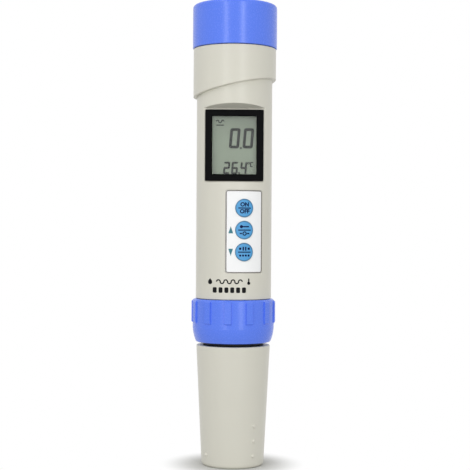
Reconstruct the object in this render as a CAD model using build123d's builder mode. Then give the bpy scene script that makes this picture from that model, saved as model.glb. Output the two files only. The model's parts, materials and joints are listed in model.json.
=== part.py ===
from build123d import *
from math import cos, radians, sin
import os

# Pen-type water meter, standing on its sensor cap. Millimetres, +Z up along the pen's axis.
# The origin is the middle of the cap's flat foot, and the display faces -Y.

# Fits and gaps
seam = 0.3             # shadow gap between two casings
running = 0.08         # a key, seal, pin or cap that slides in its seat
glue = 0.05            # a piece that is set or clipped in place
sliding = 0.4          # the battery sled in its well
thread_room = 0.45     # between a screw neck and its nut, for the threads
lip_gap = 0.3          # round the sensor's neck in the collar's lip
rest_gap = 0.1         # under the sensor's flange, over the collar's lip

# Sensor cap
cap_height = 48.2
cap_foot_radius = 12.5
cap_mouth_radius = 14.85
cap_wall = 1.9
cap_floor = 2.2
cap_floor_round = 1.2
cap_foot_round = 1.3
cap_mouth_round = 0.35
cap_mouth_chamfer = 0.6
cap_land = 8.2          # depth of the land that grips the sensor's neck
cap_seat_width = 0.75   # ledge under the sensor's neck
grip_radius = 0.85      # hemispherical grip bumps
grip_sink = 0.3
grip_lowest = 4.8
grip_pitch = 5.95
grip_rows = 3
grip_half_angle = 47.75
grip_turn = -8.25       # middle of the front pair of bump columns, seen from above

# Collar
cap_to_collar = 1.3
collar_height = 17.3
collar_radius = 16.4
collar_foot_radius = 15.0
collar_foot_round = 0.7
collar_shoulder_round = 1.0
collar_bowl_height = 5.8
collar_bowl_bulge = 0.26
rib_rise = 0.5
rib_root = 1.2          # how far a rib reaches into the wall
rib_width = 2.7
rib_count = 12
rib_turn = -7.5
rib_foot_height = 7.2
rib_top_margin = 0.3
rib_slope = 0.8

# Housing
barrel_radius = 15.2
bore_radius = 12.6
bore_shelf = 1.0         # ring of the barrel's wall over the spigot
spigot_radius = 13.5
spigot_bore_radius = 11.8
spigot_length = 12.1
head_radius = 16.65
head_rise = 19.2         # battery well's floor to the head's top
neck_radius = 14.4
neck_height = 10.3
edge_round = 0.3
shoulder_over_display = 8.55
shoulder_slope = 0.2206   # rise of the slanted edge per millimetre towards +X
shoulder_tip = -0.044     # and towards +Y
partition_height = 2.0
partition_over_display = 3.2

# Keypad, a stack of films in a pocket that is turned round the barrel
keypad_over_barrel = 10.5
keypad_angle = 17.3
keypad_width = 14.85
keypad_height = 32.4
keypad_corner = 0.8
pocket_depth = 1.3
pocket_gap = 0.16
inner_film_margin = 0.3
circuit_film = 0.2
spacer_film = 0.6
overlay_film = 0.45
key_angle = 16.0
key_radius = 3.6
key_rise = 0.3
key_edge_round = 0.15
key_pitch = 8.65
key_middle_height = 16.8   # above the keypad's lower edge
key_side_room = 0.25       # round a key inside the spacer
dome_radius = 2.6
dome_rise = 0.28
tail_width = 5.5
tail_drop = 1.5            # below the keypad's upper edge
tail_slot_room = 0.3

# Display
display_over_keypad = 3.3
display_flat = 9.0         # distance of the recess floor from the axis
display_wall = 1.7
display_wall_margin = 1.8  # of the thick wall below the recess
recess_height = 29.5
recess_top_slope = 0.24    # rise of the recess's upper wall per millimetre outwards
bezel_width = 23.2
bezel_height = 28.35
bezel_corner = 0.4
bezel_under_recess_top = 0.6
bezel_rise = 0.7
bezel_step_width = 19.2
bezel_step_height = 25.0
bezel_step_depth = 1.0
opening_width = 17.5
opening_height = 23.05
opening_lift = 0.1         # of the opening's middle over the frame's middle
opening_bevel = 0.35
window_thickness = 0.8
window_margin = 0.33       # of the pane outside the opening
glass_width = 17.9
glass_height = 27.6
glass_ledge = 2.2
glass_thickness = 0.8      # of each of the two panes
holder_width = 19.6
holder_height = 31.4
holder_radius = 11.6
holder_lip = 0.45
holder_front_gap = 0.2
holder_end_lip = 1.5
strip_thickness = 1.6
strip_short = 0.75         # at each end, from the glass's edge
screw_radius = 0.6
screw_head_radius = 1.3
screw_head_height = 0.9
screw_length = 4.0
screw_spread = 7.0

# Circuit board
board_width = 22.6
board_thickness = 1.0
board_front = -1.5         # Y of the front face
board_over_barrel = 1.9
board_under_partition = 1.2
board_corner = 1.0
guide_thickness = 0.6
guide_overlap = 0.5
guide_root = 0.4
chip_size = 9.0
chip_height = 1.3
amplifier_width = 5.0
amplifier_length = 6.2
crystal_width = 4.6
crystal_length = 11.0
crystal_height = 3.6
connector_width = 7.4
connector_depth = 2.7
connector_height = 3.2
connector_slot_depth = 2.0
socket_width = 13.0
socket_depth = 5.0
socket_grip = 1.5
socket_gap = 1.5
pin_count = 4
pin_pitch = 2.5
pin_radius = 0.42
pin_reach = 5.4
pin_root = 1.5
pin_end_room = 0.6

# Battery sled
cell_radius = 5.8
cell_height = 5.4
cell_step = 1.1
cell_edge_round = 0.4
cell_count = 3
cell_room = 0.25
sled_base = 2.2
sled_top = 2.2
sled_web = 2.2
leaf_rise = 1.5
leaf_thickness = 0.3
leaf_reach = 4.6
leaf_foot = 2.4
leaf_width = 3.6
strap_thickness = 0.3
strap_width = 3.0
ring_contact_outer = 5.4
ring_contact_inner = 3.0
pad_radius = 1.9
rivet_radius = 0.8
tab_width = 9.0
tab_thickness = 1.8
tab_corner = 3.0
tab_hole_radius = 1.8
tab_hole_drop = 4.0
contact_head_radius = 1.2
contact_head_height = 0.5
contact_pin_radius = 0.5
contact_length = 8.0
contact_spread = 4.2

# Battery cap
battery_cap_radius = 17.0
battery_cap_height = 17.5
battery_cap_roof = 2.2
battery_cap_round = 1.3
neck_seal_section = 0.45
neck_seal_height = 1.8     # above the head's top

# Sensor
neck_seat_radius = 11.95
flange_radius = 13.3
flange_thickness = 1.6
plug_radius = 11.5
plug_height = 6.0
probe_radius = 9.6
probe_length = 24.0
probe_wall = 1.6
probe_hollow = 14.0
probe_tip_round = 0.5
vent_width = 3.0
vent_height = 8.0
vent_count = 4
vent_turn = 45.0
vent_over_tip = 3.5
electrode_radius = 1.0
electrode_offset = 4.6
electrode_short = 2.2      # from the probe's tip
electrode_root = 1.6
electrode_round = 0.4
thermistor_radius = 1.5
thermistor_short = 3.2
thermistor_round = 1.2
neck_ring_section = 0.65   # ring in the visible gap over the cap
neck_ring_radius = 11.5
plug_ring_section = 0.6
plug_ring_height = 2.5     # above the flange's seat

# Heights worked out from the stack, from the foot up
cap_seat = cap_height - cap_land
probe_tip = cap_seat - probe_length
collar_bottom = cap_height + cap_to_collar
collar_top = collar_bottom + collar_height
barrel_bottom = collar_top + seam
spigot_bottom = barrel_bottom - spigot_length
flange_bottom = spigot_bottom - flange_thickness
cavity_bottom = barrel_bottom + bore_shelf
keypad_bottom = barrel_bottom + keypad_over_barrel
keypad_middle = keypad_bottom + keypad_height / 2
keypad_top = keypad_bottom + keypad_height
recess_bottom = keypad_top + display_over_keypad
recess_top = recess_bottom + recess_height
partition_bottom = recess_top + partition_over_display
well_floor = partition_bottom + partition_height
head_top = well_floor + head_rise
neck_top = head_top + neck_height
neck_seal_middle = head_top + neck_seal_height
battery_cap_bottom = head_top + seam
battery_cap_top = battery_cap_bottom + battery_cap_height
battery_cap_ceiling = battery_cap_top - battery_cap_roof
shoulder_middle = recess_top + shoulder_over_display
plug_top = spigot_bottom + plug_height

# Board and its pieces
board_back = board_front + board_thickness
board_middle = (board_front + board_back) / 2
board_bottom = barrel_bottom + board_over_barrel
board_top = partition_bottom - board_under_partition
socket_bottom = plug_top + socket_gap
socket_top = board_bottom + socket_grip
contact_y = board_back + glue + contact_pin_radius

# Display, from the frame's face inwards
bezel_middle = recess_top - bezel_under_recess_top - bezel_height / 2
display_middle = bezel_middle + opening_lift
holder_front = holder_front_gap + display_wall - display_flat
glass_front = holder_front + holder_lip
glass_back = glass_front + glass_thickness
window_width = opening_width + 2 * window_margin
window_height = opening_height + 2 * window_margin
screw_height = (holder_height + glass_height) / 4

# Keypad, from the pocket's floor outwards
pocket_floor_radius = barrel_radius - pocket_depth
spacer_radius = pocket_floor_radius + circuit_film
overlay_radius = spacer_radius + spacer_film
overlay_face = overlay_radius + overlay_film
key_face = overlay_face + key_rise
keypad_normal = (sin(radians(keypad_angle)), -cos(radians(keypad_angle)), 0)
keypad_across = (cos(radians(keypad_angle)), sin(radians(keypad_angle)), 0)
key_normal = (sin(radians(key_angle)), -cos(radians(key_angle)), 0)
key_across = (cos(radians(key_angle)), sin(radians(key_angle)), 0)
key_middle = keypad_bottom + key_middle_height
key_heights = [key_middle + key_pitch, key_middle, key_middle - key_pitch]
tail_x = pocket_floor_radius * sin(radians(key_angle))
tail_middle = keypad_top - tail_drop

# Battery sled, from the well's floor upwards
sled_radius = bore_radius - sliding
sled_half_width = cell_radius + cell_room + sled_web
cell_floor = well_floor + sled_base + leaf_rise
cell_top = cell_floor + cell_count * cell_height
pocket_ceiling = cell_top + strap_thickness
sled_roof = pocket_ceiling + sled_top
strap_y = cell_radius + cell_room + glue

os.makedirs("parts", exist_ok=True)


def key_plane(height):
    """Plane on the axis whose normal runs out through the key at this height."""
    return Plane(origin=(0, 0, height), x_dir=key_across, z_dir=key_normal)


def curved_panel(inner_radius, outer_radius, margin):
    """Panel of the keypad's outline, grown by a margin and bent to two radii."""
    plane = Plane(origin=(0, 0, keypad_middle), x_dir=keypad_across, z_dir=keypad_normal)
    with BuildPart() as panel:
        with BuildSketch(plane):
            RectangleRounded(
                keypad_width + 2 * margin, keypad_height + 2 * margin, keypad_corner + margin
            )
        extrude(amount=outer_radius + margin + 1)
        with BuildSketch(Plane.XY.offset(keypad_middle)):
            Circle(outer_radius)
            Circle(inner_radius, mode=Mode.SUBTRACT)
        extrude(amount=keypad_height, both=True, mode=Mode.INTERSECT)
    return panel.part


def key_bars(radius):
    """Round bars through the three key places."""
    with BuildPart() as bars:
        for height in key_heights:
            with BuildSketch(key_plane(height)):
                Circle(radius)
            extrude(amount=barrel_radius + key_radius)
    return bars.part


def block(width, depth, height, x, front, bottom):
    """Box placed by its middle in X, its front face in Y and its lower face."""
    with BuildPart() as box:
        with BuildSketch(Plane.XY.offset(bottom)):
            with Locations((x, front + depth / 2)):
                Rectangle(width, depth)
        extrude(amount=height)
    return box.part


def o_ring(radius, section, height):
    """Seal ring round the axis."""
    with BuildPart() as ring:
        with Locations((0, 0, height)):
            Torus(radius, section)
    return ring.part


# Sensor cap: a tapered beaker with a land in its mouth and rows of grip bumps
cap_taper = (cap_mouth_radius - cap_foot_radius) / cap_height
cap_land_radius = neck_seat_radius + running
with BuildPart() as sensor_cap:
    with BuildSketch(Plane.XZ):
        with BuildLine():
            Polyline(
                (0, 0),
                (cap_foot_radius, 0),
                (cap_mouth_radius, cap_height),
                (cap_land_radius, cap_height),
                (cap_land_radius, cap_seat),
                (cap_land_radius - cap_seat_width, cap_seat),
                (cap_foot_radius - cap_wall, cap_floor),
                (0, cap_floor),
                close=True,
            )
        make_face()
    revolve(axis=Axis.Z)
    rings = sensor_cap.edges().filter_by(GeomType.CIRCLE)
    mouth_rings = rings.group_by(Axis.Z)[-1].sort_by(SortBy.RADIUS)
    floor_ring = rings.group_by(Axis.Z)[1]
    fillet(floor_ring, radius=cap_floor_round)
    fillet(rings.group_by(Axis.Z)[0], radius=cap_foot_round)
    fillet(mouth_rings[-1], radius=cap_mouth_round)
    chamfer(mouth_rings[0], length=cap_mouth_chamfer)
    for side in (-1, 1):
        for half_turn in (0, 180):
            turn = radians(grip_turn + side * grip_half_angle + half_turn)
            for row in range(grip_rows):
                height = grip_lowest + row * grip_pitch
                reach = cap_foot_radius + cap_taper * height - grip_sink
                with Locations((reach * sin(turn), -reach * cos(turn), height)):
                    Sphere(grip_radius)
sensor_cap.part.label = "sensor_cap"
export_step(sensor_cap.part, "parts/sensor_cap.step")

# Collar: a nut with a lip under the sensor's flange and flat ribs round its wall
collar_bore = spigot_radius + thread_room
lip_top = flange_bottom - rest_gap
bowl_top = collar_bottom + collar_bowl_height
rib_face = collar_radius + rib_rise
rib_top = collar_top - rib_top_margin
rib_foot = collar_bottom + rib_foot_height
with BuildPart() as rib:
    with BuildSketch(Plane.XZ):
        with BuildLine():
            Polyline(
                (collar_radius - rib_root, rib_top),
                (rib_face - rib_slope, rib_top),
                (rib_face, rib_top - rib_slope),
                (rib_face, rib_foot + rib_slope),
                (collar_radius - rib_rise, rib_foot),
                (collar_radius - rib_root, rib_foot),
                close=True,
            )
        make_face()
    extrude(amount=rib_width / 2, both=True)
with BuildPart() as collar:
    with BuildSketch(Plane.XZ):
        with BuildLine():
            Line((neck_seat_radius + lip_gap, collar_bottom), (collar_foot_radius, collar_bottom))
            ThreePointArc(
                (collar_foot_radius, collar_bottom),
                (
                    (collar_foot_radius + collar_radius) / 2 + collar_bowl_bulge,
                    (collar_bottom + bowl_top) / 2,
                ),
                (collar_radius, bowl_top),
            )
            Polyline(
                (collar_radius, bowl_top),
                (collar_radius, collar_top),
                (collar_bore, collar_top),
                (collar_bore, lip_top),
                (neck_seat_radius + lip_gap, lip_top),
                (neck_seat_radius + lip_gap, collar_bottom),
            )
        make_face()
    revolve(axis=Axis.Z)
    rings = collar.edges().filter_by(GeomType.CIRCLE)
    fillet(rings.group_by(Axis.Z)[-1].sort_by(SortBy.RADIUS)[-1], radius=collar_shoulder_round)
    fillet(rings.group_by(Axis.Z)[0].sort_by(SortBy.RADIUS)[-1], radius=collar_foot_round)
    with PolarLocations(0, rib_count, start_angle=rib_turn - 90):
        add(rib.part)
collar.part.label = "collar"
export_step(collar.part, "parts/collar.step")

# Head: the wider top of the housing, cut off at a slant over the display
slant = Plane(origin=(0, 0, shoulder_middle), z_dir=(-shoulder_slope, -shoulder_tip, 1))
with BuildPart() as head:
    with BuildSketch(Plane.XY.offset(recess_top)):
        Circle(head_radius)
    extrude(amount=head_top - recess_top)
    split(bisect_by=slant, keep=Keep.TOP)
    fillet(head.edges().group_by(SortBy.LENGTH)[-1], radius=edge_round)

# Cavity for the board: round in the barrel, flat behind the display
cavity_front = display_flat - display_wall
flat_zone_bottom = recess_bottom - display_wall_margin
with BuildPart() as cavity:
    with BuildSketch(Plane.XY.offset(cavity_bottom)):
        Circle(bore_radius)
    extrude(amount=partition_bottom - cavity_bottom)
    with BuildSketch(Plane.XY.offset(flat_zone_bottom)):
        with Locations((0, -cavity_front - bore_radius)):
            Rectangle(2 * bore_radius, 2 * bore_radius)
    extrude(amount=partition_bottom - flat_zone_bottom, mode=Mode.SUBTRACT)

# Housing: one moulding from the sensor's spigot to the battery neck
guide_width = bore_radius + guide_root - board_width / 2 + guide_overlap
guide_x = bore_radius + guide_root - guide_width / 2
with BuildPart() as housing:
    with BuildSketch(Plane.XZ):
        with BuildLine():
            Polyline(
                (0, spigot_bottom),
                (spigot_radius, spigot_bottom),
                (spigot_radius, barrel_bottom),
                (barrel_radius, barrel_bottom),
                (barrel_radius, head_top),
                (neck_radius, head_top),
                (neck_radius, neck_top),
                (0, neck_top),
                close=True,
            )
        make_face()
    revolve(axis=Axis.Z)
    add(head.part)

    # Battery well, board cavity and sensor bore
    with BuildSketch(Plane.XY.offset(well_floor)):
        Circle(bore_radius)
    extrude(amount=neck_top - well_floor, mode=Mode.SUBTRACT)
    add(cavity.part, mode=Mode.SUBTRACT)
    with BuildSketch(Plane.XY.offset(spigot_bottom)):
        Circle(spigot_bore_radius)
    extrude(amount=cavity_bottom - spigot_bottom, mode=Mode.SUBTRACT)

    # Display recess, cut across the front, and the opening in its floor
    with BuildSketch(Plane.YZ):
        with BuildLine():
            Polyline(
                (-display_flat, recess_bottom),
                (-display_flat, recess_top),
                (-head_radius, recess_top + (head_radius - display_flat) * recess_top_slope),
                (-head_radius, recess_bottom),
                close=True,
            )
        make_face()
    extrude(amount=head_radius, both=True, mode=Mode.SUBTRACT)
    with BuildSketch(Plane.XZ.offset(display_flat)):
        with Locations((0, display_middle)):
            Rectangle(bezel_step_width + 2 * glue, bezel_step_height + 2 * glue)
    extrude(amount=-display_wall, mode=Mode.SUBTRACT)

    # Keypad pocket and the slot for the film's tail
    add(curved_panel(pocket_floor_radius, head_radius, pocket_gap), mode=Mode.SUBTRACT)
    add(
        block(
            tail_width + 2 * tail_slot_room,
            barrel_radius - cavity_front,
            circuit_film + 2 * tail_slot_room,
            tail_x,
            -barrel_radius,
            tail_middle - circuit_film / 2 - tail_slot_room,
        ),
        mode=Mode.SUBTRACT,
    )

    # Holes for the battery contacts
    with Locations((0, contact_y, well_floor), (contact_spread, contact_y, well_floor)):
        CounterBoreHole(
            contact_pin_radius + glue,
            contact_head_radius + glue,
            contact_head_height,
            depth=partition_height + 1,
        )

    # Grooves that guide the board's edges
    for side in (-1, 1):
        for front in (board_front - glue - guide_thickness, board_back + glue):
            add(
                block(
                    guide_width, guide_thickness, board_top - board_bottom,
                    side * guide_x, front, board_bottom,
                )
            )
housing.part.label = "housing"
export_step(housing.part, "parts/housing.step")

# Battery cap: a screw cap with a groove for the neck's seal
cap_bore = neck_radius + thread_room
seal_radius = neck_radius + running + neck_seal_section
seal_room = neck_seal_section + running
with BuildPart() as battery_cap:
    with BuildSketch(Plane.XZ):
        with BuildLine():
            Polyline(
                (0, battery_cap_top),
                (battery_cap_radius, battery_cap_top),
                (battery_cap_radius, battery_cap_bottom),
                (cap_bore, battery_cap_bottom),
                (cap_bore, neck_seal_middle - seal_room),
                (seal_radius + seal_room, neck_seal_middle - seal_room),
                (seal_radius + seal_room, neck_seal_middle + seal_room),
                (cap_bore, neck_seal_middle + seal_room),
                (cap_bore, battery_cap_ceiling),
                (0, battery_cap_ceiling),
                close=True,
            )
        make_face()
    revolve(axis=Axis.Z)
    rings = battery_cap.edges().filter_by(GeomType.CIRCLE)
    fillet(rings.group_by(Axis.Z)[-1], radius=battery_cap_round)
    fillet(rings.group_by(Axis.Z)[0].sort_by(SortBy.RADIUS)[-1], radius=edge_round)
battery_cap.part.label = "battery_cap"
export_step(battery_cap.part, "parts/battery_cap.step")

battery_cap_oring = o_ring(seal_radius, neck_seal_section, neck_seal_middle)
battery_cap_oring.label = "battery_cap_oring"
export_step(battery_cap_oring, "parts/battery_cap_oring.step")

# Battery sled: two end discs joined by a web with a pocket for the stack of cells
with BuildPart() as battery_carrier:
    for bottom, height in ((well_floor, sled_base), (pocket_ceiling, sled_top)):
        with BuildSketch(Plane.XY.offset(bottom)):
            Circle(sled_radius)
        extrude(amount=height)
    with BuildSketch(Plane.XY.offset(well_floor + sled_base)):
        Circle(sled_radius)
        Rectangle(2 * sled_half_width, 2 * sled_half_width, mode=Mode.INTERSECT)
        Circle(cell_radius + cell_room, mode=Mode.SUBTRACT)
        with Locations((0, -sled_radius / 2)):
            Rectangle(2 * (cell_radius + cell_room), sled_radius, mode=Mode.SUBTRACT)
    extrude(amount=pocket_ceiling - well_floor - sled_base)

    # Finger tab, held down by the battery cap
    tab_top = battery_cap_ceiling - seam
    with BuildSketch(Plane.XZ.offset(tab_thickness / 2)):
        with Locations((0, (sled_roof + tab_top) / 2)):
            tab = Rectangle(tab_width, tab_top - sled_roof)
        fillet(tab.vertices().group_by(Axis.Z)[-1], radius=tab_corner)
        with Locations((0, tab_top - tab_hole_drop)):
            Circle(tab_hole_radius, mode=Mode.SUBTRACT)
    extrude(amount=-tab_thickness)

    # Seats for the contacts, with the groove that the strap runs down
    with BuildSketch(Plane.XY.offset(well_floor)):
        Circle(ring_contact_outer + glue)
        Circle(ring_contact_inner - glue, mode=Mode.SUBTRACT)
        Circle(pad_radius + glue)
    extrude(amount=strap_thickness, mode=Mode.SUBTRACT)
    with BuildSketch(Plane.XY.offset(well_floor)):
        Circle(rivet_radius + glue)
    extrude(amount=sled_base, mode=Mode.SUBTRACT)
    add(
        block(
            strap_width + 2 * glue, strap_y + strap_thickness + glue - cell_radius,
            pocket_ceiling - well_floor, 0, cell_radius, well_floor,
        ),
        mode=Mode.SUBTRACT,
    )
    add(
        block(
            strap_width + 2 * glue, strap_y + strap_thickness + glue - ring_contact_inner,
            strap_thickness, 0, ring_contact_inner, well_floor,
        ),
        mode=Mode.SUBTRACT,
    )
battery_carrier.part.label = "battery_carrier"
export_step(battery_carrier.part, "parts/battery_carrier.step")

# Button cells, stacked with their narrow ends up
for number in range(1, cell_count + 1):
    floor = cell_floor + (number - 1) * cell_height
    with BuildPart() as cell:
        with BuildSketch(Plane.XY.offset(floor)):
            Circle(cell_radius)
        extrude(amount=cell_height - cell_step)
        fillet(cell.edges().group_by(Axis.Z)[0], radius=cell_edge_round)
        with BuildSketch(Plane.XY.offset(floor + cell_height - cell_step)):
            Circle(cell_radius - cell_step)
        extrude(amount=cell_step)
    cell.part.label = f"battery_cell_{number}"
    export_step(cell.part, f"parts/battery_cell_{number}.step")

# Leaf spring under the stack, riveted through the sled's base
leaf_floor = well_floor + sled_base
leaf_tip = leaf_floor + leaf_rise - glue
with BuildPart() as carrier_spring:
    with BuildSketch(Plane.XY.offset(well_floor)):
        Circle(pad_radius)
    extrude(amount=strap_thickness)
    with BuildSketch(Plane.XY.offset(well_floor)):
        Circle(rivet_radius)
    extrude(amount=sled_base + leaf_thickness)
    with BuildSketch(Plane.XZ):
        with BuildLine():
            Polyline(
                (-leaf_reach, leaf_tip),
                (-leaf_foot, leaf_floor + leaf_thickness),
                (leaf_foot, leaf_floor + leaf_thickness),
                (leaf_reach, leaf_tip),
                (leaf_reach, leaf_tip - leaf_thickness),
                (leaf_foot, leaf_floor),
                (-leaf_foot, leaf_floor),
                (-leaf_reach, leaf_tip - leaf_thickness),
                close=True,
            )
        make_face()
    extrude(amount=leaf_width / 2, both=True)
carrier_spring.part.label = "carrier_spring"
export_step(carrier_spring.part, "parts/carrier_spring.step")

# Strap from the top of the stack, down the groove, to the contact ring
with BuildPart() as carrier_strap:
    with BuildSketch(Plane.XY.offset(cell_top)):
        Circle(cell_radius - cell_step)
    extrude(amount=strap_thickness)
    add(block(strap_width, strap_y + strap_thickness, strap_thickness, 0, 0, cell_top))
    add(
        block(
            strap_width, strap_thickness, pocket_ceiling - well_floor,
            0, strap_y, well_floor,
        )
    )
    add(
        block(
            strap_width, strap_y + strap_thickness - ring_contact_inner - glue, strap_thickness,
            0, ring_contact_inner + glue, well_floor,
        )
    )
    with BuildSketch(Plane.XY.offset(well_floor)):
        Circle(ring_contact_outer)
        Circle(ring_contact_inner, mode=Mode.SUBTRACT)
    extrude(amount=strap_thickness)
carrier_strap.part.label = "carrier_strap"
export_step(carrier_strap.part, "parts/carrier_strap.step")

# Two contacts through the well's floor, which reach down the board's back
with BuildPart() as battery_contacts:
    with BuildSketch(Plane.XY.offset(well_floor)):
        with Locations((0, contact_y), (contact_spread, contact_y)):
            Circle(contact_head_radius)
    extrude(amount=-contact_head_height)
    with BuildSketch(Plane.XY.offset(well_floor)):
        with Locations((0, contact_y), (contact_spread, contact_y)):
            Circle(contact_pin_radius)
    extrude(amount=-contact_length)
battery_contacts.part.label = "battery_contacts"
export_step(battery_contacts.part, "parts/battery_contacts.step")

# Circuit board, with the holes for the screws of the display's holder
screw_places = [
    (side * screw_spread, display_middle + end * screw_height)
    for side in (-1, 1)
    for end in (-1, 1)
]
with BuildPart() as circuit_board:
    with BuildSketch(Plane.XZ.offset(-board_back)):
        with Locations((0, (board_bottom + board_top) / 2)):
            outline = Rectangle(board_width, board_top - board_bottom)
        chamfer(outline.vertices(), length=board_corner)
        with Locations(*screw_places):
            Circle(screw_radius + glue, mode=Mode.SUBTRACT)
    extrude(amount=board_thickness)
circuit_board.part.label = "circuit_board"
export_step(circuit_board.part, "parts/circuit_board.step")

# Pieces soldered on the board's back
microcontroller = block(
    chip_size, chip_height, chip_size, 0, board_back, display_middle - chip_size / 2
)
microcontroller.label = "microcontroller"
export_step(microcontroller, "parts/microcontroller.step")
amplifier_chip = block(
    amplifier_width, chip_height, amplifier_length, -pin_pitch, board_back,
    board_bottom + crystal_length,
)
amplifier_chip.label = "amplifier_chip"
export_step(amplifier_chip, "parts/amplifier_chip.step")
with BuildPart() as crystal:
    with BuildSketch(Plane.XZ.offset(-board_back)):
        with Locations((pin_pitch, keypad_top)):
            SlotOverall(crystal_length, crystal_width, rotation=90)
    extrude(amount=-crystal_height)
crystal.part.label = "crystal"
export_step(crystal.part, "parts/crystal.step")

# Connector for the keypad's tail
with BuildPart() as keypad_connector:
    add(
        block(
            connector_width, connector_depth, connector_height,
            tail_x, board_front - connector_depth, tail_middle - connector_height / 2,
        )
    )
    add(
        block(
            tail_width + 2 * glue, connector_slot_depth, circuit_film + 2 * glue,
            tail_x, board_front - connector_depth, tail_middle - circuit_film / 2 - glue,
        ),
        mode=Mode.SUBTRACT,
    )
keypad_connector.part.label = "keypad_connector"
export_step(keypad_connector.part, "parts/keypad_connector.step")

# Socket on the board's lower edge, which takes the sensor's pins
pin_places = [
    ((number - (pin_count - 1) / 2) * pin_pitch, board_middle) for number in range(pin_count)
]
with BuildPart() as sensor_socket:
    add(
        block(
            socket_width, socket_depth, socket_top - socket_bottom,
            0, board_middle - socket_depth / 2, socket_bottom,
        )
    )
    add(
        block(
            board_width, board_thickness + 2 * glue, socket_grip + glue,
            0, board_front - glue, board_bottom - glue,
        ),
        mode=Mode.SUBTRACT,
    )
    with BuildSketch(Plane.XY.offset(socket_bottom)):
        with Locations(*pin_places):
            Circle(pin_radius + running)
    extrude(amount=pin_reach - socket_gap + pin_end_room, mode=Mode.SUBTRACT)
sensor_socket.part.label = "sensor_socket"
export_step(sensor_socket.part, "parts/sensor_socket.step")

# Display holder: a tray screwed to the board, with a lip in front of the glass
with BuildPart() as lcd_holder:
    with BuildSketch(Plane.XZ.offset(-board_front)):
        with Locations((0, display_middle)):
            Rectangle(holder_width, holder_height)
    extrude(amount=board_front - holder_front)
    with BuildSketch(Plane.XZ.offset(-board_front)):
        with Locations((0, display_middle)):
            Rectangle(glass_width + 2 * glue, glass_height + 2 * glue)
    extrude(amount=board_front - glass_front, mode=Mode.SUBTRACT)
    with BuildSketch(Plane.XZ.offset(-board_front)):
        with Locations((0, display_middle)):
            Rectangle(opening_width + 2 * glue, glass_height - 2 * holder_end_lip)
    extrude(amount=board_front - holder_front, mode=Mode.SUBTRACT)
    with BuildSketch(Plane.XZ.offset(-board_front)):
        with Locations(*screw_places):
            Circle(screw_radius + glue)
    extrude(amount=screw_length - board_thickness + glue, mode=Mode.SUBTRACT)
    with BuildSketch(Plane.XY.offset(display_middle)):
        Circle(holder_radius)
    extrude(amount=holder_height, both=True, mode=Mode.INTERSECT)
lcd_holder.part.label = "lcd_holder"
export_step(lcd_holder.part, "parts/lcd_holder.step")

# Display glass: a tall front pane with contact ledges and a shorter one behind it
with BuildPart() as lcd_glass:
    for front, height in ((glass_front, glass_height), (glass_back, glass_height - 2 * glass_ledge)):
        add(
            block(
                glass_width, glass_thickness, height, 0, front, display_middle - height / 2
            )
        )
lcd_glass.part.label = "lcd_glass"
export_step(lcd_glass.part, "parts/lcd_glass.step")

# Rubber contact strips between the glass's ledges and the board
strip_offset = (glass_height - glass_ledge) / 2
with BuildPart() as elastomer_strips:
    for side in (-1, 1):
        add(
            block(
                glass_width - 2 * strip_short, board_front - glass_back, strip_thickness,
                0, glass_back, display_middle + side * strip_offset - strip_thickness / 2,
            )
        )
elastomer_strips.part.label = "elastomer_strips"
export_step(elastomer_strips.part, "parts/elastomer_strips.step")

# Screws that hold the tray to the board
with BuildPart() as holder_screws:
    with BuildSketch(Plane.XZ.offset(-board_back)):
        with Locations(*screw_places):
            Circle(screw_head_radius)
    extrude(amount=-screw_head_height)
    with BuildSketch(Plane.XZ.offset(-board_back)):
        with Locations(*screw_places):
            Circle(screw_radius)
    extrude(amount=screw_length)
holder_screws.part.label = "holder_screws"
export_step(holder_screws.part, "parts/holder_screws.step")

# Frame round the display: a flange on the recess floor and a step in its opening
with BuildPart() as bezel:
    with BuildSketch(Plane.XZ.offset(display_flat)):
        with Locations((0, bezel_middle)):
            RectangleRounded(bezel_width, bezel_height, bezel_corner)
    extrude(amount=bezel_rise)
    with BuildSketch(Plane.XZ.offset(display_flat)):
        with Locations((0, display_middle)):
            Rectangle(bezel_step_width, bezel_step_height)
    extrude(amount=-bezel_step_depth)
    with BuildSketch(Plane.XZ.offset(display_flat - bezel_step_depth)):
        with Locations((0, display_middle)):
            Rectangle(window_width + 2 * glue, window_height + 2 * glue)
    extrude(amount=window_thickness, mode=Mode.SUBTRACT)
    with BuildSketch(Plane.XZ.offset(display_flat + bezel_rise)):
        with Locations((0, display_middle)):
            Rectangle(opening_width, opening_height)
    extrude(amount=-bezel_rise - bezel_step_depth, mode=Mode.SUBTRACT)
    opening_edges = bezel.faces().sort_by(Axis.Y)[0].inner_wires()[0].edges()
    chamfer(opening_edges, length=opening_bevel)
bezel.part.label = "bezel"
export_step(bezel.part, "parts/bezel.step")

with BuildPart() as display_window:
    with BuildSketch(Plane.XZ.offset(display_flat - bezel_step_depth)):
        with Locations((0, display_middle)):
            Rectangle(window_width, window_height)
    extrude(amount=window_thickness)
display_window.part.label = "display_window"
export_step(display_window.part, "parts/display_window.step")

# Keypad films: the circuit with its tail, the spacer and the printed face
tail_back = board_front - connector_depth + connector_slot_depth - glue
with BuildPart() as keypad_circuit:
    add(curved_panel(pocket_floor_radius, spacer_radius, -inner_film_margin))
    with BuildSketch(Plane.XY.offset(tail_middle - circuit_film / 2)):
        Circle(spacer_radius)
        with Locations((tail_x, tail_back - barrel_radius / 2)):
            Rectangle(tail_width, barrel_radius, mode=Mode.INTERSECT)
    extrude(amount=circuit_film)
keypad_circuit.part.label = "keypad_circuit"
export_step(keypad_circuit.part, "parts/keypad_circuit.step")

with BuildPart() as keypad_spacer:
    add(curved_panel(spacer_radius, overlay_radius, -inner_film_margin))
    add(key_bars(key_radius + key_side_room), mode=Mode.SUBTRACT)
keypad_spacer.part.label = "keypad_spacer"
export_step(keypad_spacer.part, "parts/keypad_spacer.step")

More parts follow.
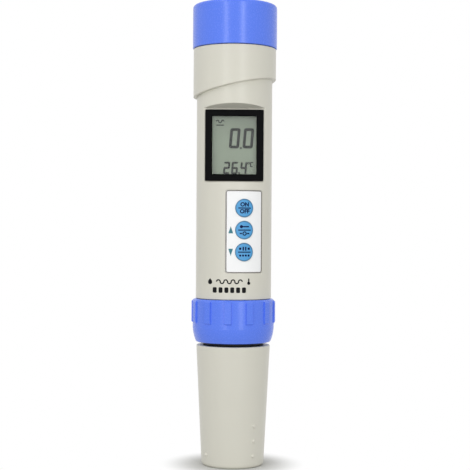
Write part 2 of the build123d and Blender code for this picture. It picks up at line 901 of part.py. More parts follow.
with BuildPart() as keypad_overlay:
    add(curved_panel(overlay_radius, overlay_face, 0))
    add(key_bars(key_radius + running), mode=Mode.SUBTRACT)
keypad_overlay.part.label = "keypad_overlay"
export_step(keypad_overlay.part, "parts/keypad_overlay.step")

# Keys: discs that follow the barrel's curve and move along their own normal
for name, height in zip(("upper_key", "middle_key", "lower_key"), key_heights):
    with BuildPart() as key:
        with BuildSketch(key_plane(height)):
            Circle(key_radius)
        extrude(amount=key_face + 1)
        with BuildSketch(Plane.XY.offset(height)):
            Circle(key_face)
            Circle(overlay_radius, mode=Mode.SUBTRACT)
        extrude(amount=2 * key_radius, both=True, mode=Mode.INTERSECT)
        fillet(key.faces().sort_by(Axis.Y)[0].edges(), radius=key_edge_round)
    key.part.label = name
    export_step(key.part, f"parts/{name}.step")

# Snap domes on the circuit film, one behind each key
dome_sphere = (dome_radius**2 + dome_rise**2) / (2 * dome_rise)
with BuildPart() as snap_domes:
    for height in key_heights:
        with Locations(key_plane(height).offset(spacer_radius + dome_rise - dome_sphere)):
            Sphere(dome_sphere)
    for height in key_heights:
        with BuildSketch(key_plane(height).offset(spacer_radius)):
            Circle(dome_radius)
    extrude(amount=dome_rise, mode=Mode.INTERSECT)
snap_domes.part.label = "snap_domes"
export_step(snap_domes.part, "parts/snap_domes.step")

# Sensor: plug, flange, neck and probe in one turned body, with a vented hollow at its tip
hollow_radius = probe_radius - probe_wall
hollow_roof = probe_tip + probe_hollow
vent_middle = probe_tip + vent_over_tip + vent_height / 2
neck_ring_middle = (cap_height + collar_bottom) / 2
plug_ring_middle = spigot_bottom + plug_ring_height
plug_ring_radius = spigot_bore_radius - running - plug_ring_section
electrode_places = [(-electrode_offset, 0), (electrode_offset, 0)]
with BuildPart() as sensor_body:
    with BuildSketch(Plane.XZ):
        with BuildLine():
            Polyline(
                (0, plug_top),
                (plug_radius, plug_top),
                (plug_radius, spigot_bottom),
                (flange_radius, spigot_bottom),
                (flange_radius, flange_bottom),
                (neck_seat_radius, flange_bottom),
                (neck_seat_radius, cap_seat),
                (probe_radius, cap_seat),
                (probe_radius, probe_tip),
                (hollow_radius, probe_tip),
                (hollow_radius, hollow_roof),
                (0, hollow_roof),
                close=True,
            )
        make_face()
    revolve(axis=Axis.Z)
    tip_rings = sensor_body.edges().filter_by(GeomType.CIRCLE).group_by(Axis.Z)[0]
    fillet(tip_rings, radius=probe_tip_round)
    with Locations((0, 0, neck_ring_middle)):
        Torus(neck_ring_radius, neck_ring_section + running, mode=Mode.SUBTRACT)
    with Locations((0, 0, plug_ring_middle)):
        Torus(plug_ring_radius, plug_ring_section + running, mode=Mode.SUBTRACT)
    for number in range(vent_count):
        turn = radians(vent_turn + number * 360 / vent_count)
        vent_plane = Plane(
            origin=(0, 0, vent_middle),
            x_dir=(-sin(turn), cos(turn), 0),
            z_dir=(cos(turn), sin(turn), 0),
        )
        with BuildSketch(vent_plane):
            SlotOverall(vent_height, vent_width, rotation=90)
        extrude(amount=probe_radius + 1, mode=Mode.SUBTRACT)
    with BuildSketch(Plane.XY.offset(hollow_roof)):
        with Locations(*electrode_places):
            Circle(electrode_radius + glue)
        Circle(thermistor_radius + glue)
    extrude(amount=electrode_root, mode=Mode.SUBTRACT)
    with BuildSketch(Plane.XY.offset(plug_top)):
        with Locations(*pin_places):
            Circle(pin_radius + glue)
    extrude(amount=-pin_root, mode=Mode.SUBTRACT)
sensor_body.part.label = "sensor_body"
export_step(sensor_body.part, "parts/sensor_body.step")

# Electrodes, temperature probe and pins, set in the sensor's body
with BuildPart() as electrodes:
    with BuildSketch(Plane.XY.offset(probe_tip + electrode_short)):
        with Locations(*electrode_places):
            Circle(electrode_radius)
    extrude(amount=hollow_roof + electrode_root - probe_tip - electrode_short)
    fillet(electrodes.edges().group_by(Axis.Z)[0], radius=electrode_round)
electrodes.part.label = "electrodes"
export_step(electrodes.part, "parts/electrodes.step")

with BuildPart() as thermistor:
    with BuildSketch(Plane.XY.offset(probe_tip + thermistor_short)):
        Circle(thermistor_radius)
    extrude(amount=hollow_roof + electrode_root - probe_tip - thermistor_short)
    fillet(thermistor.edges().group_by(Axis.Z)[0], radius=thermistor_round)
thermistor.part.label = "thermistor"
export_step(thermistor.part, "parts/thermistor.step")

with BuildPart() as plug_pins:
    with BuildSketch(Plane.XY.offset(plug_top - pin_root)):
        with Locations(*pin_places):
            Circle(pin_radius)
    extrude(amount=pin_root + pin_reach)
plug_pins.part.label = "plug_pins"
export_step(plug_pins.part, "parts/plug_pins.step")

cap_seal_oring = o_ring(neck_ring_radius, neck_ring_section, neck_ring_middle)
cap_seal_oring.label = "cap_seal_oring"
export_step(cap_seal_oring, "parts/cap_seal_oring.step")

sensor_seal_oring = o_ring(plug_ring_radius, plug_ring_section, plug_ring_middle)
sensor_seal_oring.label = "sensor_seal_oring"
export_step(sensor_seal_oring, "parts/sensor_seal_oring.step")
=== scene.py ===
import json
import math

import bpy
from mathutils import Matrix, Vector


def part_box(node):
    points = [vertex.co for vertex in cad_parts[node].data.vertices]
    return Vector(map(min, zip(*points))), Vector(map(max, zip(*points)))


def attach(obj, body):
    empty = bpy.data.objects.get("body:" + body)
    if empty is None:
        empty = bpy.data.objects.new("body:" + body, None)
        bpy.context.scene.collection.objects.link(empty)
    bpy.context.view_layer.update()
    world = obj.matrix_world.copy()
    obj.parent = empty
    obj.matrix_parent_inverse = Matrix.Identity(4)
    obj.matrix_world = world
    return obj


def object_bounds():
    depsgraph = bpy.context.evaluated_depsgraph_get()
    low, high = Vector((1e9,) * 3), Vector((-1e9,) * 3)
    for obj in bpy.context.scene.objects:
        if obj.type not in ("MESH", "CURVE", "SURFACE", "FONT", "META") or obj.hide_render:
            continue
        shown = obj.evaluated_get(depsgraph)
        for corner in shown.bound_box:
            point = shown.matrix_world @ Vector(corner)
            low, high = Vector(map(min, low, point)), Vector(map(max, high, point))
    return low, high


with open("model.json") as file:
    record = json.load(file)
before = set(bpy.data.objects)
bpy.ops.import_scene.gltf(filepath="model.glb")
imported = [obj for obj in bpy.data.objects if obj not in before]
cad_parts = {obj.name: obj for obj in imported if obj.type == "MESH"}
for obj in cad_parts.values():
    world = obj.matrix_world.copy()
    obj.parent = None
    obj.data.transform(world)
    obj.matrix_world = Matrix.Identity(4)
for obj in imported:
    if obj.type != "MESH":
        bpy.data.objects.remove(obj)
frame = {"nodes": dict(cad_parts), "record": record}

bl_info = {
    "name": "Pen meter finishes",
    "version": (1, 0, 0),
    "blender": (4, 5, 0),
    "location": "View3D > Sidebar > Pen meter",
    "description": "Finishes, printed marks, threads and studio for a pen-type water meter",
    "category": "Object",
}

MM = 0.001
# Corners nearer to each other than this are merged
TINY = 0.0001 * MM
# Turn that stands a primitive up in the XZ plane, facing -Y
UPRIGHT = (math.pi / 2, 0, 0)
# How far in front of a round face its marks start, before they are pressed onto it
BEFORE = 2 * MM
CAD_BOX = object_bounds()
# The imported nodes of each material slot
SLOTS = {}
for part in frame["record"]["subparts"]:
    SLOTS.setdefault(part["material_slot"], []).append(part["node"])


def linear(code):
    """sRGB hex to the linear colour that Blender's sockets take."""
    parts = [int(code[i:i + 2], 16) / 255 for i in (1, 3, 5)]
    return [p / 12.92 if p <= 0.04045 else ((p + 0.055) / 1.055) ** 2.4 for p in parts] + [1.0]


def colour_property(name, description, code):
    """Colour property whose default is an sRGB hex value."""
    return bpy.props.FloatVectorProperty(
        name=name, description=description, subtype="COLOR", size=4,
        min=0.0, max=1.0, default=linear(code),
    )


def length_property(name, description, millimetres):
    """Length property whose default is given in millimetres."""
    return bpy.props.FloatProperty(
        name=name, description=description, unit="LENGTH", precision=5,
        default=millimetres * MM,
    )


class MeterColours(bpy.types.PropertyGroup):
    """Colours of the finishes that show most."""

    casing: colour_property("Casing", "Moulded grey of the housing and sensor cap", "#D8D6CA")
    trim: colour_property("Trim", "Blue of the battery cap and collar", "#587FF6")
    keypad: colour_property("Keypad", "White of the keypad film", "#FAFBFC")
    # Painted shadow: the brown grey line stands in for the shade in the gap round the keypad film
    keypad_gap_shadow: colour_property("Keypad gap shadow", "Brown grey of the line round the film", "#6E665F")
    key: colour_property("Keys", "Blue of the three keys", "#4A9FDA")
    # Painted shade: the darker blue stands in for the shade at each key's rounded edge
    key_rim_shade: colour_property("Key rims", "Darker blue at the edge of each key", "#3F789C")
    bezel: colour_property("Bezel", "Black of the frame round the display", "#060608")
    glass: colour_property("Display", "Grey green of the display's film", "#7C8775")
    segment: colour_property("Segments", "Dark green of the display's segments", "#060C09")
    key_ink: colour_property("Key ink", "Navy of the marks on the keys", "#0D1745")
    arrow_ink: colour_property("Arrow ink", "Teal of the two arrows", "#46828E")
    casing_ink: colour_property("Casing ink", "Black of the marks under the keypad", "#0E0F12")


class MeterSizes(bpy.types.PropertyGroup):
    """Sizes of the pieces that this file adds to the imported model."""

    ink: length_property("Ink", "Thickness of a printed mark", 0.03)
    slice: length_property("Slice", "Step of the cuts that let a mark follow a round face", 0.6)
    digit_height: length_property("Digit height", "Height of the two large digits", 8.1)
    digit_width: length_property("Digit width", "Width of the two large digits", 4.1)
    digit_stroke: length_property("Digit stroke", "Width of a large digit's strokes", 1.12)
    digit_left: length_property("Digits from the middle", "Left edge of the large digits", -1.9)
    digit_pitch: length_property("Digit pitch", "Step from one large digit to the next", 5.45)
    digit_bottom: length_property("Digit foot", "Foot of the large digits over the opening", 10.7)
    small_height: length_property("Small digit height", "Height of the small digits", 5.0)
    small_width: length_property("Small digit width", "Width of the small digits", 2.6)
    small_stroke: length_property("Small digit stroke", "Width of a small digit's strokes", 0.82)
    film_width: length_property("Film width", "Width of the keypad film across its middle", 14.85)
    film_corner: length_property("Film corner", "Radius of the film's corners", 0.8)
    # Width of the painted shadow line round the keypad film
    film_shadow_width: length_property("Film shadow line", "Width of the line printed round the film", 0.25)
    film_turn: bpy.props.FloatProperty(
        name="Film turn", description="Turn of the keypad film round the barrel",
        subtype="ANGLE", default=math.radians(17.3),
    )
    key_turn: bpy.props.FloatProperty(
        name="Key turn", description="Turn of the keys round the barrel",
        subtype="ANGLE", default=math.radians(16.0),
    )
    neck_radius: length_property("Neck radius", "Of the battery neck under its thread", 14.4)
    spigot_radius: length_property("Spigot radius", "Of the sensor spigot under its thread", 13.5)
    thread_room: length_property("Thread room", "Between a neck and the bore of its nut", 0.45)
    thread_pitch: length_property("Thread pitch", "Rise of both screw threads in one turn", 2.0)
    thread_depth: length_property("Thread depth", "Height of a thread's ridge", 0.36)
    thread_base: length_property("Thread base", "Width of a ridge at its root", 0.85)
    thread_tip: length_property("Thread tip", "Width of a ridge at its crest", 0.35)


class MeterStudio(bpy.types.PropertyGroup):
    """Camera and light."""

    distance: length_property("Distance", "From the meter's axis to the camera", 487.0)
    height: length_property("Height", "Of the camera over the floor", 92.45)
    side: length_property("Side step", "Of the camera towards the meter's right", 0.5)
    lens: bpy.props.FloatProperty(
        name="Lens", description="Focal length", subtype="DISTANCE_CAMERA", default=92.2,
    )
    roll: bpy.props.FloatProperty(
        name="Roll", description="Turn of the camera about its view", subtype="ANGLE",
        default=math.radians(0.36),
    )
    fade_start: length_property("Fade start", "Where the floor starts to fade to white", 12.5)
    fade_end: length_property("Fade end", "Where the floor is as white as the background", 30.0)
    ambient: bpy.props.FloatProperty(
        name="Room light", description="Strength of the light from all round", default=0.71,
    )
    lamp: bpy.props.FloatProperty(
        name="Lamp power", description="Power of the right strip lamp", unit="POWER", default=1.0,
    )
    white: colour_property("Background", "Colour that the camera sees behind the meter", "#FFFFFF")
    floor: colour_property("Floor", "Pale floor", "#CFCFCC")


# Materials

def new_material(name):
    """Material with an empty node tree, its Principled shader and its output."""
    material = bpy.data.materials.new(name)
    material.use_nodes = True
    tree = material.node_tree
    tree.nodes.clear()
    output = add(tree, "ShaderNodeOutputMaterial")
    shader = add(tree, "ShaderNodeBsdfPrincipled")
    tree.links.new(shader.outputs[0], output.inputs["Surface"])
    return material, tree, shader


def add(tree, kind, settings=None, **inputs):
    """Adds a node with its settings; an input is a value or the socket that feeds it.

    An input is named as its socket, with _ for a space, or as _6 for socket number 6.
    """
    node = tree.nodes.new(kind)
    for key, value in (settings or {}).items():
        setattr(node, key, value)
    for key, value in inputs.items():
        number = key[1:]
        socket = node.inputs[int(number) if number.isdigit() else key.replace("_", " ")]
        if isinstance(value, bpy.types.NodeSocket):
            tree.links.new(value, socket)
        else:
            socket.default_value = value
    return node


def shade(colour, factor):
    """The same colour, lighter or darker."""
    return [min(1.0, part * factor) for part in colour[:3]] + [1.0]


# Nearly all values of a noise texture lie between these two
NOISE_LOW, NOISE_HIGH = 0.3, 0.7
# How far the grain raises and lowers a finish's roughness
GLOSS_DRIFT = 0.15


def finish(
    name, colour, roughness, grain, bump, drift=0.03, patch=18.0, metallic=0.0, specular=0.5,
    stretch=(1, 1, 1),
):
    """Surface with a fine grain in its relief and gloss and slow patches in its colour.

    grain and patch are the sizes of the two patterns in millimetres, bump is the relief's
    depth in millimetres, drift is how far the patches lighten and darken the colour, and
    stretch packs the grain closer along an axis, for a turned or rolled surface.
    """
    material, tree, shader = new_material(name)
    place = add(tree, "ShaderNodeTexCoord").outputs["Object"]
    turned = add(tree, "ShaderNodeMapping", Vector=place, Scale=stretch).outputs[0]
    fine = add(
        tree, "ShaderNodeTexNoise", Vector=turned, Scale=1 / (grain * MM), Detail=3.0,
        Roughness=0.6,
    )
    slow = add(tree, "ShaderNodeTexNoise", Vector=place, Scale=1 / (patch * MM), Detail=2.0)
    tint = add(
        tree, "ShaderNodeMix", {"data_type": "RGBA"}, Factor=slow.outputs[0],
        _6=shade(colour, 1 - drift), _7=shade(colour, 1 + drift),
    )
    gloss = add(
        tree, "ShaderNodeMapRange", Value=fine.outputs[0], From_Min=NOISE_LOW,
        From_Max=NOISE_HIGH, To_Min=roughness * (1 - GLOSS_DRIFT),
        To_Max=min(1.0, roughness * (1 + GLOSS_DRIFT)),
    )
    relief = add(
        tree, "ShaderNodeBump", Strength=1.0, Distance=bump * MM, Height=fine.outputs[0]
    )
    tree.links.new(tint.outputs[2], shader.inputs["Base Color"])
    tree.links.new(gloss.outputs[0], shader.inputs["Roughness"])
    tree.links.new(relief.outputs[0], shader.inputs["Normal"])
    shader.inputs["Metallic"].default_value = metallic
    shader.inputs["Specular IOR Level"].default_value = specular
    return material


def display_film(colours):
    """Polariser over the display's glass: grey green, with painted shade that makes it a little
    darker to the right and top.
    """
    cloud_size, cloud_share, painted_shade_strength = 4.0 * MM, 0.16, 0.66
    material, tree, shader = new_material("polariser film")
    place = add(tree, "ShaderNodeTexCoord").outputs["Object"]
    low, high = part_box("lcd_glass")
    across = add(tree, "ShaderNodeSeparateXYZ", Vector=place)
    right = add(
        tree, "ShaderNodeMapRange", Value=across.outputs[0], From_Min=low.x, From_Max=high.x
    )
    top = add(
        tree, "ShaderNodeMapRange", Value=across.outputs[2], From_Min=(low.z + high.z) / 2,
        From_Max=high.z,
    )
    # Painted shade: strongest at the display's upper right corner
    corner = add(
        tree, "ShaderNodeMath", {"operation": "MULTIPLY"}, _0=right.outputs[0], _1=top.outputs[0]
    )
    cloud = add(tree, "ShaderNodeTexNoise", Vector=place, Scale=1 / cloud_size, Detail=2.0)
    level = add(
        tree, "ShaderNodeMath", {"operation": "MULTIPLY_ADD"}, _0=cloud.outputs[0],
        _1=cloud_share, _2=corner.outputs[0],
    )
    tint = add(
        tree, "ShaderNodeMix", {"data_type": "RGBA"}, Factor=level.outputs[0],
        _6=colours.glass, _7=shade(colours.glass, painted_shade_strength),
    )
    tree.links.new(tint.outputs[2], shader.inputs["Base Color"])
    shader.inputs["Roughness"].default_value = 0.35
    return material


def key_lacquer(colours, node):
    """Lacquered key: a blue face, with painted shade that darkens it towards its rim."""
    rim_start, rim_end = 0.80, 0.98
    grain, depth = 0.5 * MM, 0.01 * MM
    material, tree, shader = new_material(f"lacquer of the {node}".replace("_", " "))
    low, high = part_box(node)
    centre = (low + high) / 2
    place = add(tree, "ShaderNodeTexCoord").outputs["Object"]
    local = add(
        tree, "ShaderNodeMapping", {"vector_type": "POINT"}, Vector=place,
        Location=(-centre.x, 0.0, -centre.z),
    )
    flat = add(
        tree, "ShaderNodeVectorMath", {"operation": "MULTIPLY"}, _0=local.outputs[0],
        _1=(1.0, 0.0, 1.0),
    )
    reach = add(tree, "ShaderNodeVectorMath", {"operation": "LENGTH"}, _0=flat.outputs[0])
    radius = (high.z - low.z) / 2
    # Painted shade: the blue darkens from this share of the radius out to the rim
    rim = add(
        tree, "ShaderNodeMapRange", {"interpolation_type": "SMOOTHSTEP"},
        Value=reach.outputs["Value"], From_Min=radius * rim_start, From_Max=radius * rim_end,
    )
    fine = add(tree, "ShaderNodeTexNoise", Vector=place, Scale=1 / grain, Detail=3.0)
    tint = add(
        tree, "ShaderNodeMix", {"data_type": "RGBA"}, Factor=rim.outputs[0],
        _6=colours.key, _7=colours.key_rim_shade,
    )
    relief = add(tree, "ShaderNodeBump", Strength=1.0, Distance=depth, Height=fine.outputs[0])
    tree.links.new(tint.outputs[2], shader.inputs["Base Color"])
    tree.links.new(relief.outputs[0], shader.inputs["Normal"])
    shader.inputs["Roughness"].default_value = 0.4
    return material


def solder_mask(name):
    """Green lacquer over copper tracks, which stand out as slightly lighter lines."""
    track_step, track_height = 6.0 * MM, 0.03 * MM
    material, tree, shader = new_material(name)
    place = add(tree, "ShaderNodeTexCoord").outputs["Object"]
    tracks = add(
        tree, "ShaderNodeTexBrick", {"offset": 0.5}, Vector=place, Scale=1 / track_step,
        Mortar_Size=0.03, Color1=linear("#1F5A34"), Color2=linear("#1B5030"),
        Mortar=linear("#3C8A55"),
    )
    relief = add(
        tree, "ShaderNodeBump", Strength=1.0, Distance=track_height, Height=tracks.outputs[1]
    )
    tree.links.new(tracks.outputs[0], shader.inputs["Base Color"])
    tree.links.new(relief.outputs[0], shader.inputs["Normal"])
    shader.inputs["Roughness"].default_value = 0.3
    return material


def layered_rubber(name):
    """Contact strip of thin conducting and insulating rubber layers, drawn coarser to show."""
    # A wave texture has about three bands in a length of one over its scale
    layer_step, bands = 0.4 * MM, 3
    material, tree, shader = new_material(name)
    place = add(tree, "ShaderNodeTexCoord").outputs["Object"]
    layers = add(
        tree, "ShaderNodeTexWave", {"bands_direction": "X"}, Vector=place,
        Scale=1 / layer_step / bands,
    )
    tint = add(
        tree, "ShaderNodeMix", {"data_type": "RGBA"}, Factor=layers.outputs[1],
        _6=linear("#2A2A2C"), _7=linear("#C9B9A8"),
    )
    tree.links.new(tint.outputs[2], shader.inputs["Base Color"])
    shader.inputs["Roughness"].default_value = 0.7
    return material


def window_acrylic(name):
    """Clear cast acrylic with an anti-glare face: weak reflections and a faint tint show."""
    patch, smoothest, roughest = 9.0 * MM, 0.01, 0.05
    material, tree, shader = new_material(name)
    place = add(tree, "ShaderNodeTexCoord").outputs["Object"]
    slow = add(tree, "ShaderNodeTexNoise", Vector=place, Scale=1 / patch, Detail=1.0)
    gloss = add(
        tree, "ShaderNodeMapRange", Value=slow.outputs[0], To_Min=smoothest, To_Max=roughest
    )
    tree.links.new(gloss.outputs[0], shader.inputs["Roughness"])
    shader.inputs["Base Color"].default_value = linear("#FBFDFC")
    shader.inputs["Transmission Weight"].default_value = 1.0
    shader.inputs["IOR"].default_value = 1.49
    shader.inputs["Specular IOR Level"].default_value = 0.25
    return material


def ink(name, colour):
    """Screen-printed ink: flat, matt and faintly uneven."""
    return finish(
        name, colour, roughness=0.6, grain=0.4, bump=0.002, drift=0.12, patch=1.5, specular=0.15
    )


def put_on(nodes, material):
    """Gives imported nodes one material; their meshes stay as they are."""
    for node in nodes:
        slots = frame["nodes"][node].material_slots
        if len(slots) == 0:
            frame["nodes"][node].data.materials.append(material)
        for slot in slots:
            slot.material = material


# Modelling

def only(piece):
    """Selects one object and makes it the active one."""
    bpy.ops.object.select_all(action="DESELECT")
    piece.select_set(True)
    bpy.context.view_layer.objects.active = piece
    return piece


def started(operator, **settings):
    """Adds a primitive with nothing else selected and returns its object."""
    bpy.ops.object.select_all(action="DESELECT")
    operator(**settings)
    return bpy.context.object


def settled(piece):
    """Moves an object's place, turn and size into its mesh."""
    only(piece)
    bpy.ops.object.transform_apply(location=True, rotation=True, scale=True)
    return piece


def copied(piece):
    """Copy with its own mesh."""
    twin = piece.copy()
    twin.data = piece.data.copy()
    bpy.context.collection.objects.link(twin)
    return twin


def moved(piece, x=0.0, z=0.0):
    """Shifts the mesh of a flat piece in the XZ plane."""
    piece.data.transform(Matrix.Translation((x, 0, z)))
    return piece


def named(piece, name):
    """Names an object and its mesh."""
    piece.name = name
    piece.data.name = name
    return piece


def joined(pieces, name):
    """Joins objects into one, named object."""
    bpy.ops.object.select_all(action="DESELECT")
    for piece in pieces:
        piece.select_set(True)
    bpy.context.view_layer.objects.active = pieces[0]
    bpy.ops.object.join()
    return named(pieces[0], name)


def modified(piece, kind, **settings):
    """Adds a modifier and applies it."""
    only(piece)
    modifier = piece.modifiers.new(kind.title(), kind)
    for key, value in settings.items():
        setattr(modifier, key, value)
    bpy.ops.object.modifier_apply(modifier=modifier.name)
    return piece


def plane(width, height):
    """Flat rectangle in the XZ plane at the origin, facing -Y."""
    piece = started(bpy.ops.mesh.primitive_plane_add, size=1.0, rotation=UPRIGHT)
    piece.scale = (width, height, 1.0)
    return settled(piece)


def bar(width, height, corner=0.0, rounds=1):
    """Flat bar at the origin, with square corners, cut ones, or round ones of several steps."""
    piece = plane(width, height)
    if corner:
        bpy.ops.object.mode_set(mode="EDIT")
        bpy.ops.mesh.select_all(action="SELECT")
        bpy.ops.mesh.bevel(offset=corner, affect="VERTICES", segments=rounds)
        bpy.ops.object.mode_set(mode="OBJECT")
    return piece


def disc(radius, sides=32):
    """Flat disc in the XZ plane at the origin, facing -Y."""
    piece = started(
        bpy.ops.mesh.primitive_circle_add, vertices=sides, radius=radius, fill_type="NGON",
        rotation=UPRIGHT,
    )
    return settled(piece)


def ring(radius, stroke, start=0.0, end=math.tau, steps=32):
    """Flat arc or full ring in the XZ plane, spun from one radial edge."""
    piece = plane(stroke, stroke)
    bpy.ops.object.mode_set(mode="EDIT")
    bpy.ops.mesh.select_mode(type="EDGE")
    bpy.ops.mesh.select_all(action="DESELECT")
    bpy.ops.object.mode_set(mode="OBJECT")
    for edge in piece.data.edges:
        ends = [piece.data.vertices[i].co for i in edge.vertices]
        edge.select = all(end.z < 0 for end in ends)
    bpy.ops.object.mode_set(mode="EDIT")
    bpy.ops.mesh.select_all(action="INVERT")
    bpy.ops.mesh.delete(type="EDGE")
    bpy.ops.mesh.select_all(action="SELECT")
    bpy.ops.transform.translate(value=(radius, 0, stroke / 2))
    bpy.ops.transform.rotate(value=start, orient_axis="Y", center_override=(0, 0, 0))
    bpy.ops.mesh.spin(steps=steps, angle=end - start, center=(0, 0, 0), axis=(0, 1, 0))
    bpy.ops.mesh.select_all(action="SELECT")
    bpy.ops.mesh.remove_doubles(threshold=TINY)
    bpy.ops.object.mode_set(mode="OBJECT")
    return piece


def wave(count, radius, stroke, first, middle, steps):
    """Row of half rings, up and down in turn; first is the middle of the first one."""
    arcs = []
    for number in range(count):
        start = 0.0 if number % 2 == 0 else math.pi
        arc = ring(radius, stroke, start, start + math.pi, steps)
        arcs.append(moved(arc, first + number * 2 * radius, middle))
    return arcs


def facing(piece):
    """Turns every face of a flat mark towards -Y."""
    for face in piece.data.polygons:
        if face.normal.y > 0:
            face.flip()
    piece.data.update()
    return piece


def sliced(piece, step):
    """Cuts a flat mark along upright lines, so that it can follow a round face."""
    only(piece)
    across = [vertex.co.x for vertex in piece.data.vertices]
    bpy.ops.object.mode_set(mode="EDIT")
    for number in range(math.ceil(min(across) / step), math.floor(max(across) / step) + 1):
        bpy.ops.mesh.select_all(action="SELECT")
        bpy.ops.mesh.bisect(plane_co=(number * step, 0, 0), plane_no=(1, 0, 0))
    bpy.ops.object.mode_set(mode="OBJECT")
    return piece


def printed(piece, node, front, turn=0.0):
    """Lays a flat mark on a node's front and gives it the ink's thickness.

    front is a Y outside the node. The mark is turned about the meter's axis with that place,
    and is pressed from there straight in onto the node.
    """
    sizes = bpy.context.scene.meter_sizes
    # A hair off the face, so that the two never lie in one plane
    clearance = sizes.ink * 0.3
    sliced(piece, sizes.slice)
    facing(piece)
    piece.data.transform(Matrix.Translation((0, front, 0)))
    piece.rotation_euler.z = turn
    modified(
        piece, "SHRINKWRAP", target=frame["nodes"][node], wrap_method="PROJECT",
        use_project_y=True, use_positive_direction=True, use_negative_direction=False,
        offset=clearance,
    )
    modified(piece, "SOLIDIFY", thickness=sizes.ink, offset=1.0)
    return settled(piece)


def dressed(piece, material, body):
    """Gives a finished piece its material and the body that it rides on."""
    piece.data.materials.clear()
    piece.data.materials.append(material)
    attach(piece, body)
    return piece


def displayed(pieces, name, material_name):
    """Joins the strokes of a mark and lays it on the display's glass as liquid crystal."""
    mark = joined(pieces, name)
    printed(mark, "lcd_glass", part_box("display_window")[1].y)
    crystal = ink(material_name, bpy.context.scene.meter_colours.segment)
    return dressed(mark, crystal, "housing")


# Segments of a digit, lettered round from the top, with the middle one last: the place of each
# in halves of the digit's width and height, and 1 where it stands upright
SEGMENTS = {
    "a": (0, 1, 0), "b": (1, 0.5, 1), "c": (1, -0.5, 1), "d": (0, -1, 0),
    "e": (-1, -0.5, 1), "f": (-1, 0.5, 1), "g": (0, 0, 0),
}
DIGITS = {"0": "abcdef", "2": "abged", "4": "bcfg", "6": "acdefg", "C": "adef"}
DIGIT_LEAN = math.radians(4.5)
# Both as shares of the stroke: the gap between segments, and the cut at their ends
SEGMENT_GAP = 0.16
SEGMENT_CUT = 0.49


def digit(character, left, bottom, width, height, stroke):
    """One seven-segment digit as a list of flat bars, leaning to the right."""
    gap = stroke * SEGMENT_GAP
    cut = stroke * SEGMENT_CUT
    half_width = (width - stroke) / 2
    half_height = (height - stroke) / 2
    level = bar(2 * half_width + stroke - gap, stroke, cut)
    upright = bar(stroke, half_height + stroke - gap, cut)
    lean = Matrix.Identity(4)
    lean[0][2] = math.tan(DIGIT_LEAN)
    pieces = []
    for letter in DIGITS[character]:
        x, z, vertical = SEGMENTS[letter]
        source = upright if vertical else level
        piece = moved(copied(source), x * half_width, z * half_height)
        piece.data.transform(lean)
        pieces.append(moved(piece, left + width / 2, bottom + height / 2))
    for source in (level, upright):
        bpy.data.objects.remove(source)
    return pieces


